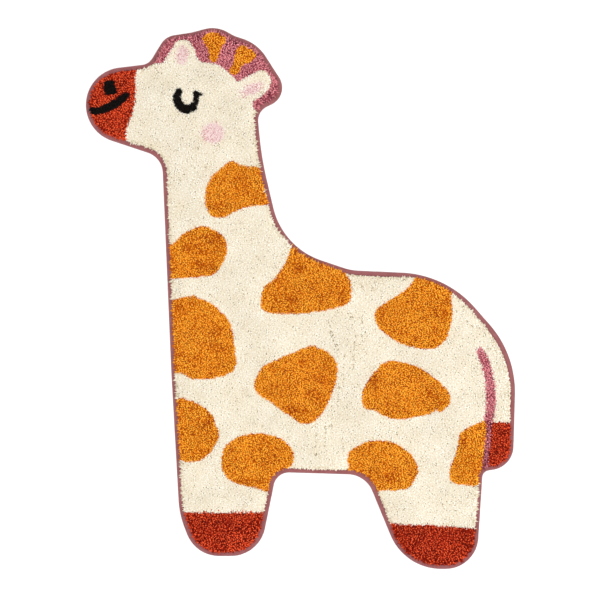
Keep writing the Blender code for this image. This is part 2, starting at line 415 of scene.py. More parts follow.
# A later area lies over an earlier one, and all of them over the cream. Some run on past the rug's edge.
AREAS = (
    Area("mane", Yarn.MAUVE, Blob((
        (-300, 393), (-248, 391), (-226, 391), (-167, 393), (-154, 390.5), (-144, 390), (-137, 387.5),
        (-127, 381.5), (-118, 374), (-110, 366.5), (-104, 359), (-79, 329.5), (-79, 321), (-75, 313),
        (-64, 307), (-10, 300), (-10, 470), (-300, 470),
    ), rounded=False), shade=0.07),
    Area("mane stripe, front", Yarn.OCHRE, Blob((
        (-161, 435), (-152, 442), (-139, 442.5), (-127, 436.5), (-124, 428), (-132, 413), (-138, 397),
        (-144.5, 390.5), (-151.5, 397), (-151, 405), (-154, 416), (-161, 426),
    ))),
    Area("mane stripe, rear", Yarn.OCHRE, Blob((
        (-100, 420), (-92, 420), (-80, 412), (-73.5, 404), (-82, 393), (-96, 387), (-102, 376),
        (-110.5, 371), (-118, 378), (-112, 390), (-109.5, 404), (-106, 414),
    ))),
    Area("front ear", Yarn.CREAM, Blob((
        (-227, 389), (-210, 418.5), (-206, 427), (-196, 430.5), (-186, 427.5), (-176, 414), (-172, 400),
        (-166, 389), (-196, 378),
    ))),
    Area("rear ear", Yarn.CREAM, Blob((
        (-106, 356), (-92, 365.5), (-78, 373.5), (-65, 379), (-55, 376), (-49, 364), (-51, 351),
        (-61, 339), (-79, 328), (-96, 336),
    ))),
    Area("front ear, inside", Yarn.PINK, Oval(-196.5, 404, 15.5, 9.5, 78), ragged=2.2, shade=-0.1),
    Area("rear ear, inside", Yarn.PINK, Oval(-79.5, 348, 18.5, 8.5, 24), ragged=2.2, shade=-0.14),
    Area("cheek", Yarn.PINK, Oval(-145, 274.5, 18.5, 17), ragged=2.6),
    Area("patch, nape", Yarn.OCHRE, Blob((
        (-117, 227), (-137, 212), (-148, 202), (-155, 187), (-159, 162), (-150, 139), (-129, 134),
        (-114, 142), (-91, 151), (-72, 154), (-52, 157), (-58, 176), (-66, 215), (-86, 218.5), (-103, 223),
    ))),
    Area("patch, throat", Yarn.OCHRE, Blob((
        (-166, 121), (-196, 107), (-202, 100), (-209, 93), (-220, 89), (-250, 87), (-250, 34), (-206, 33),
        (-172, 35), (-146, 39.5), (-130, 57), (-121, 81), (-128, 104), (-147, 115),
    ))),
    Area("patch, chest", Yarn.OCHRE, Blob((
        (-177, 4.5), (-212, -2), (-245, -10), (-245, -112), (-206, -124), (-194, -125), (-186, -131),
        (-164, -135), (-140, -132), (-112, -121), (-107, -100), (-111.5, -62), (-117, -41), (-123, -29),
        (-132, -22), (-139, -14), (-157, -3), (-170, 0.5),
    ))),
    Area("patch, shoulder", Yarn.OCHRE, Blob((
        (-9, 98), (-26, 56), (-37, 43), (-45, 32), (-61, 18), (-66, -8), (-60, -21.5), (-29, -26.5),
        (18, -23), (63, -15), (82, -4.5), (84, 22), (79, 37), (62, 60), (10, 120),
    ))),
    Area("patch, middle", Yarn.OCHRE, Blob((
        (18, -78), (-9, -89), (-40, -101.5), (-65, -116), (-75.5, -136), (-76.5, -147), (-71, -157.5),
        (-48, -173.5), (-21, -193), (5, -209.5), (29, -199), (47, -171), (59.5, -138), (61, -112),
        (49, -92.5), (33, -83),
    ))),
    Area("patch, front leg", Yarn.OCHRE, Blob((
        (-178, -171), (-188, -168.5), (-196, -164), (-210, -168), (-240, -170), (-240, -266), (-199, -269.5),
        (-182, -271.5), (-160, -265), (-143, -248), (-134.5, -226), (-141, -209), (-143, -202), (-155, -185),
    ))),
    Area("patch, elbow", Yarn.OCHRE, Blob((
        (-70, -224), (-101, -229), (-123, -244), (-131, -265), (-128, -290), (-109, -306), (-73, -315),
        (-50, -322), (-36, -312), (-28, -288), (-16, -279), (-11, -269), (-12, -257), (-22, -240),
        (-43, -228.5),
    ))),
    Area("patch, belly", Yarn.OCHRE, Blob((
        (82, -254), (99, -242), (124, -236), (154, -239), (178, -254), (191, -271), (195, -287), (184, -311),
        (160, -319), (132, -320), (95, -340), (70, -310), (79, -284), (79, -268),
    ))),
    Area("patch, back", Yarn.OCHRE, Blob((
        (196, 46), (187, 29), (178, 18), (167, 10), (152, 0), (137, -9.5), (126, -20), (124, -33),
        (131, -50), (160, -72), (188, -81), (213, -83.5), (233, -77), (247, -55), (252, -28), (251, 6),
        (266, 34), (225, 66),
    ))),
    Area("patch, flank", Yarn.OCHRE, Blob((
        (141, -105.5), (167, -105), (193, -112.5), (218, -128), (238, -145), (249.5, -163), (245, -178),
        (232, -188.5), (224, -185.5), (218, -189.5), (204, -194.5), (168, -201), (142, -197), (132, -192),
        (122, -185.5), (106, -181), (102, -161), (108, -143), (124, -121),
    ))),
    Area("patch, thigh", Yarn.OCHRE, Blob((
        (306, -203), (290, -209), (273, -217), (264, -227), (261, -246), (254, -267), (247, -288),
        (251, -304), (268, -309), (290, -311), (302, -302), (304, -270), (309, -240), (314, -212),
    ))),
    Area("tail tuft", Yarn.BRICK, Blob((
        (310, -206), (375, -205), (375, -310), (335, -300), (310, -284), (307, -240),
    ), rounded=False), ragged=1.0, shade=-0.2),
    # painted shade: a darker middle to the tuft
    Area("tail tuft, worn", Yarn.BRICK, Oval(322, -256, 34, 11, 85), ragged=5.0, shade=-0.38),
    Area("tail", Yarn.MAUVE, Stroke((
        Knot(298, -87, 11), Knot(301, -95, 15), Knot(307, -107, 15.5), Knot(313, -128, 15.5),
        Knot(315.5, -143, 16), Knot(316, -158, 16.5), Knot(315.5, -173, 16.5), Knot(314.5, -188, 15.5),
        Knot(312, -200, 15),
    )), ragged=1.4, shade=0.12),
    Area("tail, over the tuft", Yarn.MAUVE, Stroke((
        Knot(313, -206, 9), Knot(312, -232, 8.5), Knot(310, -247, 9), Knot(308, -262, 9.5),
        Knot(307, -292, 10),
    )), ragged=0.8, shade=-0.25),
    Area("muzzle", Yarn.BRICK, Blob((
        (-269, 410), (-271, 386), (-272.5, 372), (-274, 363), (-273.5, 346), (-274, 330), (-276.5, 314),
        (-283, 297), (-288.5, 280), (-291, 250), (-400, 250), (-400, 420),
    ), rounded=False), ragged=0.8),
    Area("front hoof", Yarn.BRICK, Blob((
        (-240, -355), (-30, -355), (-30, -470), (-240, -470),
    ), rounded=False), ragged=1.2, shade=-0.18),
    # painted shade: a darker middle to the hoof, lighter towards its rim
    Area("front hoof, worn", Yarn.BRICK, Oval(-130, -378, 42, 17, -5), ragged=6.0, shade=-0.42),
    Area("hind hoof", Yarn.BRICK, Blob((
        (120, -372), (200, -376), (330, -383), (330, -480), (120, -480),
    ), rounded=False), ragged=1.2, shade=-0.36),
    Area("nostril", Yarn.BLACK, Blob((
        (-327, 359.5), (-317.5, 363), (-310, 362.5), (-304, 343.5), (-307, 339), (-325, 337),
    ), rounded=False), ragged=0.2),
    Area("mouth", Yarn.BLACK, Stroke((
        Knot(-349, 312.5, 10), Knot(-341, 310.5, 12), Knot(-330, 312.5, 13), Knot(-319, 317, 14.5),
        Knot(-303, 326, 14.5), Knot(-289, 337, 11),
    )), ragged=0.2),
    Area("closed eye", Yarn.BLACK, Stroke((
        Knot(-201.5, 343.5, 11.5), Knot(-205, 335, 13.5), Knot(-203, 324, 14.5), Knot(-196.5, 316.5, 15),
        Knot(-188.5, 313.5, 14.5), Knot(-179.5, 317, 13.5), Knot(-174, 325, 11), Knot(-173, 334, 9.5),
        Knot(-173.5, 341, 9), Knot(-165.5, 338.5, 5),
    )), ragged=0.2),
)


@dataclass
class Design:
    """What the pile shows: its coloured areas."""

    areas: tuple[Area, ...]
    fine_edge: tuple[float, float] = (-6.0, -1.0)  # mm inside the black features where fineness sets in

    def paint(self, at: Array, rng: np.random.Generator | None = None) -> tuple[Array, Array, Array]:
        """The yarn that each place is tufted in.

        Args:
            at: places, in mm.
            rng: makes the borders ragged, when given.

        Returns:
            The yarns' numbers, how far each place is from the nearest border, and what is added to the tone.
        """
        yarn = np.full(len(at), Yarn.CREAM.value)
        border = np.full(len(at), FAR)
        shade = np.zeros(len(at))
        for area in self.areas:
            depth = area.shape.depth(at)
            if rng is not None:
                depth += area.ragged * rng.normal(0.0, 1.0, len(at))
            inside = depth > 0
            yarn[inside] = area.yarn.value
            shade[inside] = area.shade
            border = np.where(inside, depth, np.minimum(border, -depth))
        return yarn, border, shade

    def fineness(self, at: Array) -> Array:
        """1 where the small black features of the face are, and 0 some way off."""
        fine = np.zeros(len(at))
        for area in self.areas:
            if area.yarn is Yarn.BLACK:
                fine = np.maximum(fine, smooth_step(area.shape.depth(at), *self.fine_edge))
        return fine


# --- Finishes ---


@dataclass(frozen=True)
class YarnFinish:
    """Dyed cotton yarn, cut across its end: matt, with a soft bloom where loose fibres catch the light."""

    yarn: Yarn
    # deep: its darkest tone, which some ends reach at random and the flecks take as painted shade
    deep: str
    body: str
    light: str
    root: str
    flecks: float  # share of the yarn ends that stay low, in painted shade
    mottle: float = 0.2  # how much its shade varies from end to end
    dimming: float = 0.25  # how much painted shade darkens it at the rim
    roughness: float = 0.92
    shine: float = 0.1  # its specular level: the gaps between its fibres take up most of what they mirror
    bloom: float = 0.12
    fibre: float = 0.5  # mm between fibres, drawn some 25 times too coarse, or none would show

    def material(self) -> bpy.types.Material:
        """The yarn's material. "tone" picks its shade, and "rise" goes from the root, 0, to the tip, 1."""
        made, tree, shader = start_material(
            f"cut cotton yarn, {self.yarn.name.lower()}",
            {
                "Roughness": self.roughness,
                "Specular IOR Level": self.shine,
                "Sheen Weight": self.bloom,
                "Sheen Roughness": 0.6,
            },
        )
        tone = add_node(tree, "ShaderNodeAttribute", {"attribute_name": "tone"})
        rise = add_node(tree, "ShaderNodeAttribute", {"attribute_name": "rise"})
        shades = ((0.0, self.deep), (0.3, self.body), (1.0, self.light))
        shade = add_node(tree, "ShaderNodeValToRGB", {"stops": shades}, {"Fac": tone.outputs["Fac"]})
        above = add_node(
            tree,
            "ShaderNodeMapRange",
            {"From Min": 0.1, "From Max": 0.75, "interpolation_type": "SMOOTHSTEP"},
            {"Value": rise.outputs["Fac"]},
        )
        colour = add_node(
            tree,
            "ShaderNodeMix",
            {"data_type": "RGBA", 6: linear(self.root)},
            {0: above.outputs["Result"], 7: shade.outputs["Color"]},
        )
        place = add_node(tree, "ShaderNodeTexCoord")
        fibres = add_node(
            tree,
            "ShaderNodeTexNoise",
            {"Scale": 1.0 / (self.fibre * MM), "Detail": 2.0, "Roughness": 0.6},
            {"Vector": place.outputs["Object"]},
        )
        height = {"Height": fibres.outputs["Fac"]}
        nap = add_node(tree, "ShaderNodeBump", {"Strength": 0.35, "Distance": 0.15 * MM}, height)
        tree.links.new(colour.outputs[2], shader.inputs["Base Color"])
        tree.links.new(nap.outputs["Normal"], shader.inputs["Normal"])
        return made


YARNS = {
    finish.yarn: finish
    for finish in (
        YarnFinish(
            Yarn.CREAM, "#86723c", "#d8cbae", "#fffdf5", "#ece2cd",
            flecks=0.009, mottle=0.26, dimming=0.3,
        ),
        YarnFinish(
            Yarn.OCHRE, "#822000", "#d0680c", "#ffc03a", "#dc780a",
            flecks=0.1, mottle=0.8, bloom=0.02,
        ),
        YarnFinish(
            Yarn.BRICK, "#520604", "#ac2a10", "#f26036", "#a0220c",
            flecks=0.1, mottle=0.86, dimming=0.12, bloom=0.0,
        ),
        YarnFinish(
            Yarn.MAUVE, "#4c1628", "#9c404c", "#ee9aa0", "#984854",
            flecks=0.08, mottle=0.5, bloom=0.05,
        ),
        YarnFinish(
            Yarn.PINK, "#c88c86", "#e2bebc", "#f6e9e8", "#ecd6d3",
            flecks=0.1, mottle=0.8,
        ),
        YarnFinish(
            Yarn.BLACK, "#070606", "#0e0b0a", "#1c1816", "#040303",
            flecks=0.0, bloom=0.0,
        ),
    )
}


@dataclass(frozen=True)
class GroundFinish:
    """Tufted ground cloth, seen between the yarn ends: fibres of the yarn above it give it their colour."""

    roughness: float = 0.95
    shine: float = 0.1

    def material(self) -> bpy.types.Material:
        """The material of the ground's top, which reads its colour from the mesh."""
        made, tree, shader = start_material(
            "tufted cotton ground", {"Roughness": self.roughness, "Specular IOR Level": self.shine}
        )
        dye = add_node(tree, "ShaderNodeAttribute", {"attribute_name": "dye"})
        tree.links.new(dye.outputs["Color"], shader.inputs["Base Color"])
        return made


@dataclass(frozen=True)
class BackingFinish:
    """Plain woven cotton canvas, undyed: matt, with threads over and under each other."""

    thread: str = "#d8c9ab"
    gap: str = "#a9976f"
    spacing: float = 1.6  # mm between threads, drawn at twice the real spacing, or none would show
    roughness: float = 0.9

    def material(self) -> bpy.types.Material:
        """The material of the rug's back."""
        made, tree, shader = start_material("woven cotton canvas", {"Roughness": self.roughness})
        place = add_node(tree, "ShaderNodeTexCoord")
        heights = [
            add_node(
                tree,
                "ShaderNodeTexWave",
                {"bands_direction": axis, "Scale": band_scale(self.spacing * MM), "Distortion": 0.6},
                {"Vector": place.outputs["Object"]},
            )
            for axis in ("X", "Y")
        ]
        weave = add_node(
            tree,
            "ShaderNodeMath",
            {"operation": "MAXIMUM"},
            {0: heights[0].outputs["Fac"], 1: heights[1].outputs["Fac"]},
        )
        stops = ((0.2, self.gap), (0.8, self.thread))
        colour = add_node(tree, "ShaderNodeValToRGB", {"stops": stops}, {"Fac": weave.outputs[0]})
        height = {"Height": weave.outputs[0]}
        relief = add_node(tree, "ShaderNodeBump", {"Strength": 0.6, "Distance": 0.3 * MM}, height)
        tree.links.new(colour.outputs["Color"], shader.inputs["Base Color"])
        tree.links.new(relief.outputs["Normal"], shader.inputs["Normal"])
        return made


@dataclass(frozen=True)
class TapeFinish:
    """Cotton twill tape, dyed in the piece: smooth and matt, with fine slanting ribs and a faint bloom."""

    deep: str = "#653638"
    body: str = "#7f494a"
    light: str = "#905f60"
    rib: float = 1.3  # mm between ribs, drawn at twice the real spacing, or none would show
    wear: float = 12.5  # mm between worn and unworn stretches
    roughness: float = 0.85
    shine: float = 0.25
    bloom: float = 0.1

    def material(self) -> bpy.types.Material:
        """The tape's material. It reads "ribbon", the place along and across the tape in mm."""
        made, tree, shader = start_material(
            "cotton twill tape, mauve",
            {"Roughness": self.roughness, "Specular IOR Level": self.shine, "Sheen Weight": self.bloom},
        )
        ribbon = add_node(tree, "ShaderNodeAttribute", {"attribute_name": "ribbon"})
        ribs = add_node(
            tree,
            "ShaderNodeTexWave",
            {"bands_direction": "DIAGONAL", "Scale": band_scale(self.rib), "Distortion": 1.2, "Detail": 1.0},
            {"Vector": ribbon.outputs["Vector"]},
        )
        wear = add_node(
            tree,
            "ShaderNodeTexNoise",
            {"Scale": 1.0 / self.wear, "Detail": 3.0, "Roughness": 0.6},
            {"Vector": ribbon.outputs["Vector"]},
        )
        parts = {2: wear.outputs["Fac"], 3: ribs.outputs["Fac"]}
        mixed = add_node(tree, "ShaderNodeMix", {"data_type": "FLOAT", 0: 0.35}, parts)
        stops = ((0.15, self.deep), (0.5, self.body), (0.9, self.light))
        colour = add_node(tree, "ShaderNodeValToRGB", {"stops": stops}, {"Fac": mixed.outputs[0]})
        height = {"Height": ribs.outputs["Fac"]}
        relief = add_node(tree, "ShaderNodeBump", {"Strength": 0.4, "Distance": 0.15 * MM}, height)
        tree.links.new(colour.outputs["Color"], shader.inputs["Base Color"])
        tree.links.new(relief.outputs["Normal"], shader.inputs["Normal"])
        return made


@dataclass(frozen=True)
class ThreadFinish:
    """Spun polyester sewing thread: a little glossier than the tape, its twist in fine slanting bands."""

    ply: str = "#7a4a4e"
    groove: str = "#56302f"
    twist: float = 0.6  # mm between turns
    roughness: float = 0.6

    def material(self) -> bpy.types.Material:
        """The sewing thread's material."""
        made, tree, shader = start_material("polyester sewing thread, mauve", {"Roughness": self.roughness})
        place = add_node(tree, "ShaderNodeTexCoord")
        plies = add_node(
            tree,
            "ShaderNodeTexWave",
            {"bands_direction": "DIAGONAL", "Scale": band_scale(self.twist * MM)},
            {"Vector": place.outputs["Object"]},
        )
        stops = ((0.1, self.groove), (0.6, self.ply))
        colour = add_node(tree, "ShaderNodeValToRGB", {"stops": stops}, {"Fac": plies.outputs["Fac"]})
        tree.links.new(colour.outputs["Color"], shader.inputs["Base Color"])
        return made


# --- Pieces ---


def ride(piece: bpy.types.Object) -> bpy.types.Object:
    """Puts a piece on the rug's one body and logs how many faces it has."""
    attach(piece, BODY)
    log.info("%s: %d faces", piece.name, len(piece.data.polygons))
    return piece


def place_mesh(name: str, data: bpy.types.Mesh, *materials: bpy.types.Material) -> bpy.types.Object:
    """An object in the scene that shows a mesh in the given materials."""
    for material in materials:
        data.materials.append(material)
    made = bpy.data.objects.new(name, data)
    bpy.context.collection.objects.link(made)
    return made


class Profile(NamedTuple):
    """A point of a cross-section: how far in from the outline it is, and its height above the floor."""

    inset: float
    height: float


@dataclass
class Ground:
    """The tufted ground cloth: thin at its rim, thicker under the pile, up to the roots of the yarn."""

    outline: Outline
    design: Design
    spacing: float = 3.5  # between stations round its rim
    grid: float = 4.5  # between points of its top
    back_inset: float = 12.3  # of the back, clear of the tape's lower edge
    rim_inset: float = 1.3
    rim_low: float = 1.3
    rim_high: float = 3.3
    foot_inset: float = 9.5  # of the pile's foot, clear of the tape's upper edge
    foot: float = 4.9
    crown: float = 8.3  # height of the roots, away from the rim
    crown_inset: float = 18.0
    slope_steps: tuple[float, ...] = (0.0, 0.04, 0.15, 0.35, 0.65, 1.0)  # shares of the way to its crown
    edge_gap: float = 0.6  # clear ring inside its last station ring, in spacings of its grid

    def height(self, inset: Array) -> Array:
        """The height of the roots at some distance from the outline."""
        share = np.clip((inset - self.foot_inset) / (self.crown_inset - self.foot_inset), 0.0, 1.0)
        return self.foot + (self.crown - self.foot) * np.sqrt(1.0 - (1.0 - share) ** 2)

    def section(self) -> list[Profile]:
        """Its cross-section, from the back out to the rim and in again to the crown."""
        low = [
            Profile(self.back_inset, 0.0),
            Profile(self.back_inset, self.rim_low),
            Profile(self.rim_inset, self.rim_low),
            Profile(self.rim_inset, self.rim_high),
            Profile(self.foot_inset, self.rim_high),
        ]
        insets = self.foot_inset + (self.crown_inset - self.foot_inset) * np.array(self.slope_steps)
        return low + [Profile(float(i), float(h)) for i, h in zip(insets, self.height(insets))]

    def build(self) -> bpy.types.Object:
        """Builds and dresses the ground cloth, which stands for the CAD panel.

        Returns:
            The piece.
        """
        places, away, _ = self.outline.stations(self.spacing)
        mesh = bmesh.new()
        rings = []
        for point in self.section():
            at = places - point.inset * away
            rings.append([mesh.verts.new((x * MM, y * MM, point.height * MM)) for x, y in at])
        for lower, upper in zip(rings, rings[1:]):
            for number in range(len(lower)):
                mesh.faces.new((lower[number - 1], lower[number], upper[number], upper[number - 1]))
        back = mesh.faces.new(rings[0])
        self.cap(mesh, rings[-1])
        bmesh.ops.recalc_face_normals(mesh, faces=mesh.faces[:])
        back.material_index = 1
        data = bpy.data.meshes.new("tufted_ground")
        mesh.to_mesh(data)
        mesh.free()
        self.dye(data)
        made = place_mesh("tufted_ground", data, GroundFinish().material(), BackingFinish().material())
        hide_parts("pile_panel")
        return ride(made)

    def cap(self, mesh: bmesh.types.BMesh, rim: list[bmesh.types.BMVert]) -> None:
        """Closes the top inside its last ring with even triangles."""
        edge = np.array([(vert.co.x, vert.co.y) for vert in rim]) / MM
        low, high = edge.min(axis=0), edge.max(axis=0)
        rows = np.arange(low[1], high[1], self.grid * ROW)
        columns = np.arange(low[0], high[0], self.grid)
        grid = np.array([(x + 0.5 * self.grid * (row % 2), y) for row, y in enumerate(rows) for x in columns])
        inset, _ = self.outline.inset(grid)
        inner = grid[inset > self.crown_inset + self.edge_gap * self.grid]
        count = len(edge)
        loop = [(number, (number + 1) % count) for number in range(count)]
        everything = [Vector(place) for place in np.concatenate((edge, inner))]
        points, _, faces, origins, _, _ = delaunay_2d_cdt(everything, loop, [], 1, 1e-6)
        high = self.crown * MM
        verts = [
            rim[origin[0]] if origin[0] < count else mesh.verts.new((point.x * MM, point.y * MM, high))
            for point, origin in zip(points, origins)
        ]
        for face in faces:
            mesh.faces.new([verts[number] for number in face])

    def dye(self, data: bpy.types.Mesh) -> None:
        """Gives each point of the mesh the root colour of the yarn over it."""
        count = len(data.vertices)
        places = np.empty(count * 3, dtype=np.float32)
        data.vertices.foreach_get("co", places)
        yarn, _, _ = self.design.paint(places.reshape(-1, 3)[:, :2].astype(float) / MM)
        palette = np.array([linear(YARNS[one].root) for one in Yarn])
        colours = data.color_attributes.new("dye", "FLOAT_COLOR", "POINT")
        colours.data.foreach_set("color", palette[yarn].astype(np.float32).ravel())


class Verge(NamedTuple):
    """A stretch of the rim, and how far in from the outline the pile's edge is seen there, over the tape."""

    name: str
    x: float
    y: float
    inset: float


VERGES = (
    Verge("muzzle, front", -356, 325, 4.2),
    Verge("muzzle, chin", -310, 262, 5.2),
    Verge("muzzle, top", -300, 384, 7.0),
    Verge("brow", -262, 389, 6.0),
    Verge("mane, front", -226, 432, 4.0),
    Verge("mane, top", -146, 450, 2.9),
    Verge("mane, crown", -80, 425, 4.0),
    Verge("mane, rear", -38, 372, 4.6),
    Verge("nape", -60, 302, 5.6),
    Verge("throat", -238, 228, 7.4),
    Verge("back of the neck", -64, 230, 5.7),
    Verge("back of the neck, low", -38, 150, 5.5),
    Verge("front of the neck", -215, 130, 5.3),
    Verge("breast", -214, 20, 4.8),
    Verge("chest", -214, -120, 4.6),
    Verge("front shin", -205, -290, 4.8),
    Verge("front hoof, toe", -185, -400, 6.5),
    Verge("front hoof, sole", -120, -429, 5.6),
    Verge("front hoof, heel", -62, -395, 6.2),
    Verge("front leg, inside", -46, -330, 6.6),
    Verge("belly", 30, -290, 6.8),
    Verge("hind leg, inside", 120, -330, 7.8),
    Verge("hind hoof, toe", 160, -410, 4.3),
    Verge("hind hoof, sole", 240, -450, 5.2),
    Verge("hind hoof, heel", 296, -390, 5.2),
    Verge("hind leg, rear", 302, -335, 3.6),
    Verge("tail end", 350, -250, 4.2),
    Verge("haunch", 354, -168, 8.0),
    Verge("rump", 336, -92, 10.2),
    Verge("croup", 284, 3, 7.2),
    Verge("patch on the back", 222, 33, 3.2),
    Verge("withers", 120, 46, 7.7),
    Verge("patch on the shoulder", 16, 78, 1.9),
)

# Short creases in which the pile parts, and more yarn ends lie low in painted shade
PARTINGS = tuple(
    Stroke(tuple(Knot(*knot) for knot in crease))
    for crease in (
        ((124, 38, 4), (124, 27, 3), (118, 12, 3)),
        ((97, 28, 3), (106, 13, 3)),
        ((84, -22, 4), (86, -48, 3)),
        ((102, -27, 3), (103, -62, 3)),
        ((45, -36, 3), (57, -74, 4), (63, -90, 3)),
        ((91, -60, 3), (88, -118, 3)),
        ((73, -92, 3), (71, -146, 3)),
        ((63, -143, 4), (62, -178, 4)),
        ((53, -180, 3), (51, -222, 3)),
        ((42, -205, 3), (39, -262, 3)),
        ((27, -212, 3), (26, -262, 3)),
        ((70, -227, 3), (73, -263, 3)),
        ((256, -20, 3), (272, -34, 4), (286, -48, 3)),
        ((-243, 386, 3), (-231, 373, 3)),
    )
)

# Painted shade in spots of the coloured pile, where more of its yarn ends also stay low
SHADE_SPOTS = tuple(
    Oval(*sizes)
    for sizes in (
        (-95, 190, 20, 13, -60), (-138, 153, 13, 8), (-6, 50, 17, 8, -5), (-37, 30, 12, 5, 25),
        (-12, -1, 9, 12), (-23, -18, 16, 6, -5), (32, 0, 8, 7), (68, 12, 7, 20), (-138, 95, 10, 16),
        (-150, 79, 17, 6), (-183, 84, 13, 9), (-168, 55, 18, 8, -15), (-138, -82, 20, 9),
        (-142, -52, 8, 13), (-203, -20, 7, 12), (-176, -98, 11, 6), (-1, -108, 9, 6, 15), (-16, -121, 9, 6),
        (46, -112, 8, 15, 20), (27, -134, 20, 6, -8), (24, -163, 18, 12, -20), (-6, -184, 20, 9, -5),
        (-80, -303, 22, 6), (-88, -270, 16, 3, -5), (152, -298, 17, 9, -20), (122, -134, 8, 14),
        (222, -157, 13, 12), (208, -171, 7, 5), (133, -28, 6, 14), (239, -16, 8, 22), (221, -24, 7, 9),
        (268, -240, 9, 7), (-166, -253, 13, 6), (-152, -206, 10, 8), (-349, 340, 32, 8, 80),
        (-324, 374, 32, 7, 22),
    )
)

# Swells of the pile, in this order: radians of the way it leans, painted light and shade in clouds,
# whether a parting shows, lumps, and mm of its reach over the tape
LEAN_SWELL = (
    Wave(143.0, 0.3, 0.4, 1.3), Wave(97.0, 2.2, 1.9, 1.0),
    Wave(61.0, 1.2, 4.0, 0.7), Wave(37.0, 2.9, 2.5, 0.4),
)
CLOUD_SWELL = (
    Wave(71.0, 0.5, 0.9, 0.3), Wave(53.0, 1.7, 3.1, 0.3),
    Wave(31.0, 2.6, 5.2, 0.3), Wave(19.0, 1.1, 1.4, 0.25),
)
DASH_SWELL = (Wave(17.0, 1.4, 0.7, 0.8), Wave(10.3, 1.7, 2.6, 0.8), Wave(7.7, 1.5, 4.4, 0.8))
TOP_SWELL = (Wave(118.0, 0.4, 0.6, 0.40), Wave(83.0, 1.9, 2.1, 0.35), Wave(61.0, 2.8, 4.4, 0.25))
JAG_SWELL = (Wave(9.3, 0.4, 0.2, 0.8), Wave(7.1, 1.5, 2.9, 0.8), Wave(6.1, 2.5, 4.1, 0.8))


@dataclass
class Yarns:
    """Some yarn ends: where each one is rooted and cut, in mm, and how it looks."""

    root: Array
    tip: Array
    tone: Array  # how much lighter than its neighbours, in shares of the yarn's mottle
    luck: Array  # from 0 to 1: the least lucky ones stay low, in painted shade
    rimness: Array  # 1 at the pile's foot, falling to 0 over the crown

    @classmethod
    def joined(cls, parts: list[Yarns]) -> Yarns:
        """Several lots of yarn ends as one."""
        return cls(*(np.concatenate([getattr(part, name) for part in parts]) for name in cls.__annotations__))


